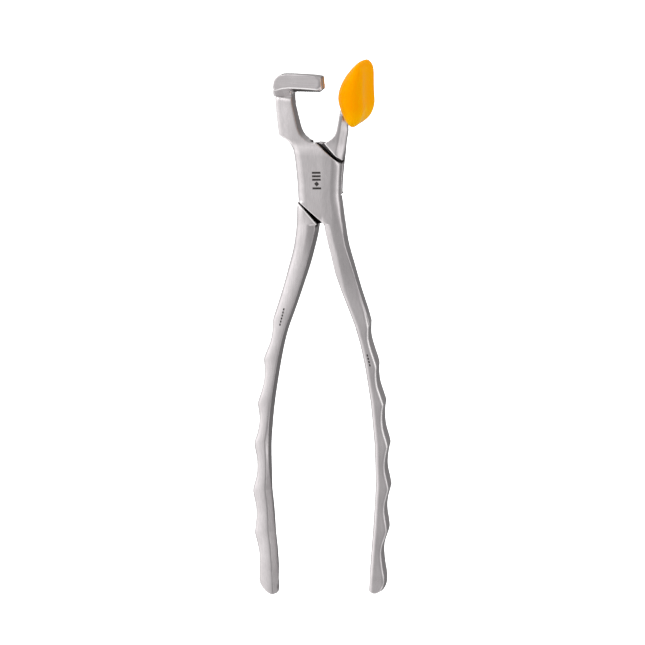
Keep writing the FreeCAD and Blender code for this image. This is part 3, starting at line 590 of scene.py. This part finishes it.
def turned(name):
    """Turned and polished screw: fine concentric lines on the head."""
    n = Nodes(name)
    X, Y, Z = n.axes()
    rad = n.math("SQRT", n.math("ADD", n.math("MULTIPLY", X, X), n.math("MULTIPLY", Z, Z)))
    rings = n.math("SINE", n.math("MULTIPLY", rad, 2 * math.pi / (0.16 * MM)))
    grain = n.noise(n.scaled(2600, 2600, 2600), 1.0, 3.0, 0.6)
    wear = n.noise(n.scaled(420, 420, 420), 1.0, 5.0, 0.65)
    point = n.add("ShaderNodeNewGeometry").outputs["Pointiness"]
    # sharp edges lightened: painted edge highlight, partly edge wear
    edge = n.remap(point, 0.52, 0.58, 0.0, 1.0, True)
    tone = n.math("ADD", n.math("MULTIPLY", n.math("ADD", n.math("MULTIPLY", rings, 0.5), 0.5), 0.25),
                  n.math("ADD", n.math("MULTIPLY", grain, 0.3), n.math("MULTIPLY", wear, 0.45)))
    col = n.mix(n.remap(tone, 0.3, 0.7, 0.0, 1.0), (0.50, 0.475, 0.47, 1.0), (0.66, 0.64, 0.63, 1.0))
    col = n.mix(n.math("MULTIPLY", edge, 0.6), col, (0.80, 0.78, 0.77, 1.0))
    n.link(col, n.bsdf.inputs["Base Color"])
    n.link(n.remap(tone, 0.3, 0.7, 0.30, 0.20), n.bsdf.inputs["Roughness"])
    n.bsdf.inputs["Metallic"].default_value = 1.0
    bump = n.add("ShaderNodeBump")
    bump.inputs["Strength"].default_value = 0.4
    bump.inputs["Distance"].default_value = 0.00002
    n.link(tone, bump.inputs["Height"])
    n.link(bump.outputs["Normal"], n.bsdf.inputs["Normal"])
    return n.mat


def silicone(name):
    n = Nodes(name)
    X, Y, Z = n.axes()
    cloud = n.noise(n.scaled(120, 120, 120), 1.0, 3.0, 0.5)
    fine = n.noise(n.scaled(1500, 1500, 1500), 1.0, 3.0, 0.6)
    # painted light: the lower right of the cushion is coloured a lighter yellow, as where more light falls
    low = n.math("MULTIPLY", n.remap(Z, 26 * MM, 33 * MM, 1.0, 0.0, True), n.remap(X, 11 * MM, 15 * MM, 0.0, 1.0, True))
    fac = n.math("ADD", n.math("MULTIPLY", cloud, 0.25), n.math("MULTIPLY", low, 0.75), clamp=True)
    col = n.mix(fac, (1.0, 0.35, 0.0, 1.0), (1.0, 0.45, 0.0, 1.0))
    col = n.mix(n.remap(fine, 0.62, 0.75, 0.0, 0.25, True), col, (1.0, 0.44, 0.02, 1.0))
    n.link(col, n.bsdf.inputs["Base Color"])
    n.link(n.remap(n.math("ADD", n.math("MULTIPLY", fine, 0.4), n.math("MULTIPLY", cloud, 0.6)),
                   0.35, 0.65, 0.12, 0.18), n.bsdf.inputs["Roughness"])
    n.bsdf.inputs["Subsurface Weight"].default_value = 0.35
    n.bsdf.inputs["Subsurface Radius"].default_value = (1.0, 0.45, 0.08)
    n.bsdf.inputs["Subsurface Scale"].default_value = 0.0018
    n.bsdf.inputs["IOR"].default_value = 1.04
    n.bsdf.inputs["Specular IOR Level"].default_value = 0.5
    n.bsdf.inputs["Specular Tint"].default_value = (1.0, 0.50, 0.08, 1.0)
    bump = n.add("ShaderNodeBump")
    bump.inputs["Strength"].default_value = 0.25
    bump.inputs["Distance"].default_value = 0.00006
    n.link(n.math("ADD", n.math("MULTIPLY", fine, 0.35), cloud), bump.inputs["Height"])
    n.link(bump.outputs["Normal"], n.bsdf.inputs["Normal"])
    return n.mat


# ---------------------------------------------------------------- cushion
CUSHION = [(23.7, 13.0, 15.6, 7.4), (24.6, 11.4, 17.0, 9.6), (26.2, 10.2, 18.1, 10.9), (28.6, 9.05, 19.0, 11.6),
           (31.0, 8.1, 19.35, 12.0), (33.8, 7.45, 19.1, 12.2), (37.0, 7.9, 18.95, 12.1), (40.0, 9.1, 18.95, 11.9),
           (42.8, 10.75, 19.0, 11.4), (45.2, 12.7, 18.8, 10.4), (46.9, 14.3, 18.2, 8.6), (47.8, 15.4, 17.4, 6.8)]
LEAN = 0.05


def cushion_piece():
    """The moulded silicone cushion: level sections, a soft crease at its widest
    level, closed rounded ends, and a real pocket where the shank goes in."""
    rows = np.array(CUSHION)
    zs = np.linspace(rows[0, 0], rows[-1, 0], 25)
    sx = [np.interp(zs, rows[:, 0], rows[:, k]) for k in (1, 2, 3)]
    for _ in range(1):
        for s in sx:
            s[1:-1] = 0.25 * s[:-2] + 0.5 * s[1:-1] + 0.25 * s[2:]
    prof = [(0.0, 0.0), (0.012, 0.15), (0.05, 0.30), (0.11, 0.45), (0.20, 0.60), (0.30, 0.74), (0.42, 0.86),
            (0.55, 0.955), (0.68, 1.0), (0.80, 0.985), (0.90, 0.93), (0.97, 0.82), (1.0, 0.68), (0.995, 0.5),
            (0.97, 0.34), (0.955, 0.17), (0.95, 0.0)]
    loop = [(a, b) for a, b in prof] + [(a, -b) for a, b in prof[-2:0:-1]]
    bm = bmesh.new()
    rings = []
    for i, z in enumerate(zs):
        xi, xo, d = sx[0][i], sx[1][i], sx[2][i]
        ring = []
        for a, b in loop:
            yy = b * d
            ring.append(bm.verts.new(((xi + a * (xo - xi)) * MM, yy * MM, (z + LEAN * yy) * MM)))
        rings.append(ring)
    n = len(loop)
    for a, b in zip(rings[:-1], rings[1:]):
        for k in range(n):
            bm.faces.new((a[k], a[(k + 1) % n], b[(k + 1) % n], b[k]))

    def cap(ring, direction):
        prev = ring
        cx = sum((v.co for v in ring), Vector()) / n
        for f, h in ((0.80, 0.16), (0.55, 0.28), (0.28, 0.34)):
            new = [bm.verts.new(cx + (v.co - cx) * f + Vector((0, 0, direction * h * MM))) for v in ring]
            for k in range(n):
                q = (prev[k], prev[(k + 1) % n], new[(k + 1) % n], new[k])
                bm.faces.new(q if direction > 0 else q[::-1])
            prev = new
        tip = bm.verts.new(cx + Vector((0, 0, direction * 0.36 * MM)))
        for k in range(n):
            q = (prev[k], prev[(k + 1) % n], tip)
            bm.faces.new(q if direction > 0 else q[::-1])

    cap(rings[-1], 1)
    cap(rings[0], -1)
    bmesh.ops.recalc_face_normals(bm, faces=bm.faces)
    mesh = bpy.data.meshes.new("silicone_cushion")
    bm.to_mesh(mesh)
    bm.free()
    ob = bpy.data.objects.new("silicone_cushion", mesh)
    scene.collection.objects.link(ob)
    # pocket for the paddle and channel for the shank
    tools = []

    def pocket_tool(name, s0, s1, n0, n1, half, corner=0.0, lift=0.0):
        """Prism along the shank; its far corners cut back and its inner face thinned."""
        bmt = bmesh.new()
        T = Vector((math.sin(TILT), 0, math.cos(TILT)))
        N = Vector((math.cos(TILT), 0, -math.sin(TILT)))
        D = Vector((9.2, 0, 22.0))
        if corner:
            flat = [(-3.35, s0), (3.35, s0), (3.35, 4.0), (half, 11.5), (half, 13.0), (half, s1 - corner),
                    (half - corner, s1), (corner - half, s1), (-half, s1 - corner), (-half, 13.0), (-half, 11.5),
                    (-3.35, 4.0)]
        else:
            flat = [(-half, s0), (half, s0), (half, s1), (-half, s1)]
        low, high = [], []
        for yy, s_ in flat:
            inner = n0 + lift * max(0.0, s_ - 13.0) / 8.5
            for row, n_ in ((low, inner), (high, n1)):
                p = D + T * s_ + N * n_
                row.append(bmt.verts.new((p.x * MM, yy * MM, p.z * MM)))
        k = len(flat)
        for q in range(k):
            bmt.faces.new((low[q], low[(q + 1) % k], high[(q + 1) % k], high[q]))
        if corner:
            for row in (low, high):
                for a in range(5):
                    bmt.faces.new((row[-a], row[a + 1], row[a + 2], row[-a - 1]))
        else:
            bmt.faces.new(low)
            bmt.faces.new(high)
        bmesh.ops.recalc_face_normals(bmt, faces=bmt.faces)
        me = bpy.data.meshes.new(name)
        bmt.to_mesh(me)
        bmt.free()
        t = bpy.data.objects.new(name, me)
        scene.collection.objects.link(t)
        tools.append(t)
        return t

    sub = ob.modifiers.new("round", "SUBSURF")
    sub.levels = sub.render_levels = 2
    for i, t in enumerate((pocket_tool("pocket", -6.0, 21.8, -1.05, 1.85, 6.65, 2.4, 0.7),
                           pocket_tool("channel", -6.0, 9.3, -2.4, 1.85, 3.35))):
        bo = ob.modifiers.new("cut%d" % i, "BOOLEAN")
        bo.operation = "DIFFERENCE"
        bo.solver = "EXACT"
        bo.object = t
    new = evaluated(ob, "silicone_cushion")
    ob.modifiers.clear()
    ob.data = new
    for t in tools:
        bpy.data.objects.remove(t)
    m = ob.modifiers.new("voxels", "REMESH")
    m.mode = "VOXEL"
    m.voxel_size = 0.28 * MM
    m.use_smooth_shade = True
    s = ob.modifiers.new("ease", "SMOOTH")
    s.factor = 0.5
    s.iterations = 10
    new = evaluated(ob, "silicone_cushion")
    ob.modifiers.clear()
    ob.data = new
    for poly in ob.data.polygons:
        poly.use_smooth = True
    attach(ob, "cushion_sleeve")
    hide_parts("bumper_cushion")
    return ob


# ---------------------------------------------------------------- pieces
MARK_A = [(-0.45, 4.7, 1.75, 0.40, 0.05), (-0.40, 3.35, 1.75, 0.40, 0.05), (-0.35, 2.0, 1.75, 0.40, 0.05),
          (-0.28, 0.35, 0.72, 0.72, math.radians(45)), (-0.2, -1.35, 1.75, 0.40, 0.05)]


def ticks(x0, z0, x1, z1, count, half):
    """A row of short etched dashes from one point to another."""
    ang = math.atan2(z1 - z0, x1 - x0)
    step = math.hypot(x1 - x0, z1 - z0) / count
    return [(x0 + (x1 - x0) * (i + 0.5) / count, z0 + (z1 - z0) * (i + 0.5) / count, step * 0.36, half, ang)
            for i in range(count)]


MARK_HA = ticks(19.6, -65.0, 20.9, -70.0, 4, 0.30)
MARK_HB = ticks(-13.7, -48.6, -15.5, -55.8, 6, 0.30)

beak = steel_half("beak_half", "beak_half_steel", "beak_arm", shape_beak_half, shade_beak_half, wear_and_highlight_beak_half, 0.2)
beak.data.materials.clear()
beak.data.materials.append(steel("satin_steel_beak", MARK_A + MARK_HA, beak=True))
bump = steel_half("bumper_half", "bumper_half_steel", "bumper_arm", shape_bumper_half, shade_bumper_half, wear_and_highlight_bumper_half, 0.2)
bump.data.materials.clear()
bump.data.materials.append(steel("satin_steel_bumper", MARK_HB))

screw_mesh = voxels(node_copy("pivot_screw", "pivot_screw_turned"), "pivot_screw_turned", 0.06, 3)
screw = bpy.data.objects.new("pivot_screw_turned", screw_mesh)
scene.collection.objects.link(screw)
for poly in screw_mesh.polygons:
    poly.use_smooth = True
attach(screw, "beak_arm")
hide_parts("pivot_screw")
screw.data.materials.clear()
screw.data.materials.append(turned("turned_screw_steel"))

cushion = cushion_piece()
cushion.data.materials.clear()
cushion.data.materials.append(silicone("orange_silicone"))

# ---------------------------------------------------------------- floor and light
lo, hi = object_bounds()
half = 3.0
fm = bpy.data.meshes.new("floor")
fz = lo.z - 0.0006
fm.from_pydata([(-half, -half, fz), (half, -half, fz), (half, half, fz), (-half, half, fz)], [], [(0, 1, 2, 3)])
floor = bpy.data.objects.new("floor", fm)
scene.collection.objects.link(floor)
fmat = bpy.data.materials.new("pale_floor")
fmat.use_nodes = True
fb = fmat.node_tree.nodes["Principled BSDF"]
fb.inputs["Base Color"].default_value = (0.9, 0.9, 0.9, 1)
fb.inputs["Roughness"].default_value = 0.9
fb.inputs["Specular IOR Level"].default_value = 0.1
fb.inputs["Emission Color"].default_value = (1, 1, 1, 1)
fb.inputs["Emission Strength"].default_value = 0.97
fm.materials.append(fmat)
floor.visible_glossy = False
floor.visible_diffuse = False

world = bpy.data.worlds.new("studio")
scene.world = world
world.use_nodes = True
wt = world.node_tree
wt.nodes.clear()


def wnode(kind, **props):
    n = wt.nodes.new(kind)
    for k, v in props.items():
        setattr(n, k, v)
    return n


def wmath(op, a, b=None):
    n = wnode("ShaderNodeMath", operation=op)
    for i, v in enumerate((a, b)):
        if v is None:
            continue
        if isinstance(v, (int, float)):
            n.inputs[i].default_value = v
        else:
            wt.links.new(v, n.inputs[i])
    return n.outputs[0]


def wramp(v, stops):
    n = wnode("ShaderNodeValToRGB")
    n.color_ramp.interpolation = "LINEAR"
    els = n.color_ramp.elements
    while len(els) > 1:
        els.remove(els[-1])
    for i, (pos, val) in enumerate(stops):
        e = els[0] if i == 0 else els.new(pos)
        e.position = pos
        e.color = (val, val, val, 1)
    wt.links.new(v, n.inputs[0])
    return n.outputs["Color"]


tc = wnode("ShaderNodeTexCoord")
sep = wnode("ShaderNodeSeparateXYZ")
wt.links.new(tc.outputs["Generated"], sep.inputs[0])
theta = wmath("ARCTAN2", sep.outputs[0], wmath("MULTIPLY", sep.outputs[1], -1.0))
turn = wmath("ADD", wmath("DIVIDE", theta, 2 * math.pi), 0.5)
# light round the object: angle from the front, positive to its right, and brightness
ROUND = [(-180, 0.42), (-160, 0.45), (-135, 0.56), (-112, 0.78), (-93, 1.10), (-77, 1.42), (-64, 1.56), (-50, 1.54), (-40, 1.32),
         (-28, 1.04), (-17, 0.84), (-8, 0.63), (0, 0.51), (14, 0.46), (28, 0.50), (45, 0.72), (57, 1.05), (64, 1.45),
         (78, 1.45), (87, 0.9), (98, 0.5), (115, 0.33), (150, 0.28), (165, 0.29), (180, 0.42)]
around = wmath("MULTIPLY", wramp(turn, [((a + 180) / 360.0, v / 2.0) for a, v in ROUND]), 2.0)
height = wmath("ADD", wmath("MULTIPLY", sep.outputs[2], 0.5), 0.5)
RISE = [(-1.0, 0.78), (-0.94, 0.85), (-0.86, 1.5), (-0.62, 1.6), (-0.48, 0.95), (-0.34, 0.74), (-0.2, 0.95), (-0.15, 1.0),
        (-0.05, 1.12), (0.1, 1.16), (0.3, 1.25), (0.5, 1.32), (0.68, 1.25), (0.85, 0.95), (1.0, 0.85)]
rise = wmath("MULTIPLY", wramp(height, [((a + 1) / 2.0, v / 2.0) for a, v in RISE]), 2.0)
# towards straight up and straight down the direction round no longer counts
FADE = [(-1.0, 1.0), (-0.85, 1.0), (-0.5, 0.0), (0.5, 0.0), (0.85, 1.0), (1.0, 1.0)]
fade = wramp(height, [((a + 1) / 2.0, v) for a, v in FADE])
even = wmath("ADD", wmath("MULTIPLY", around, wmath("SUBTRACT", 1.0, fade)), wmath("MULTIPLY", fade, 0.85))
prod = wmath("MULTIPLY", even, rise)
lp = wnode("ShaderNodeLightPath")
glossy = lp.outputs["Is Glossy Ray"]
prod = wmath("ADD", wmath("MULTIPLY", prod, glossy), wmath("MULTIPLY", wmath("SUBTRACT", 1.0, glossy), 0.98))
lamp_bg = wnode("ShaderNodeBackground")
wt.links.new(prod, lamp_bg.inputs["Strength"])
lamp_bg.inputs["Color"].default_value = (1, 1, 1, 1)
plain_bg = wnode("ShaderNodeBackground")
plain_bg.inputs["Color"].default_value = (1, 1, 1, 1)
plain_bg.inputs["Strength"].default_value = 1.0
mixw = wnode("ShaderNodeMixShader")
wt.links.new(lp.outputs["Is Camera Ray"], mixw.inputs[0])
wt.links.new(lamp_bg.outputs[0], mixw.inputs[1])
wt.links.new(plain_bg.outputs[0], mixw.inputs[2])
wo = wnode("ShaderNodeOutputWorld")
wt.links.new(mixw.outputs[0], wo.inputs["Surface"])


def softbox(name, azimuth, elevation, dist, size, watts, size_y=None):
    """Area light aimed at the object; azimuth from the front, positive to its right."""
    a, e = math.radians(azimuth), math.radians(elevation)
    d = Vector((math.sin(a) * math.cos(e), -math.cos(a) * math.cos(e), math.sin(e)))
    ld = bpy.data.lights.new(name, "AREA")
    ld.shape = "RECTANGLE"
    ld.size = size
    ld.size_y = size_y or size
    ld.energy = watts
    ob = bpy.data.objects.new(name, ld)
    scene.collection.objects.link(ob)
    ob.location = Vector((0, 0, -0.05)) + d * dist
    ob.rotation_mode = "QUATERNION"
    ob.rotation_quaternion = (-d).to_track_quat("-Z", "Y")
    ob.visible_camera = False
    return ob


softbox("key", -48, 38, 1.2, 0.7, 3.0)

scene.view_settings.view_transform = "Standard"
scene.view_settings.look = "None"
scene.view_settings.exposure = 0.0
scene.view_settings.gamma = 1.0
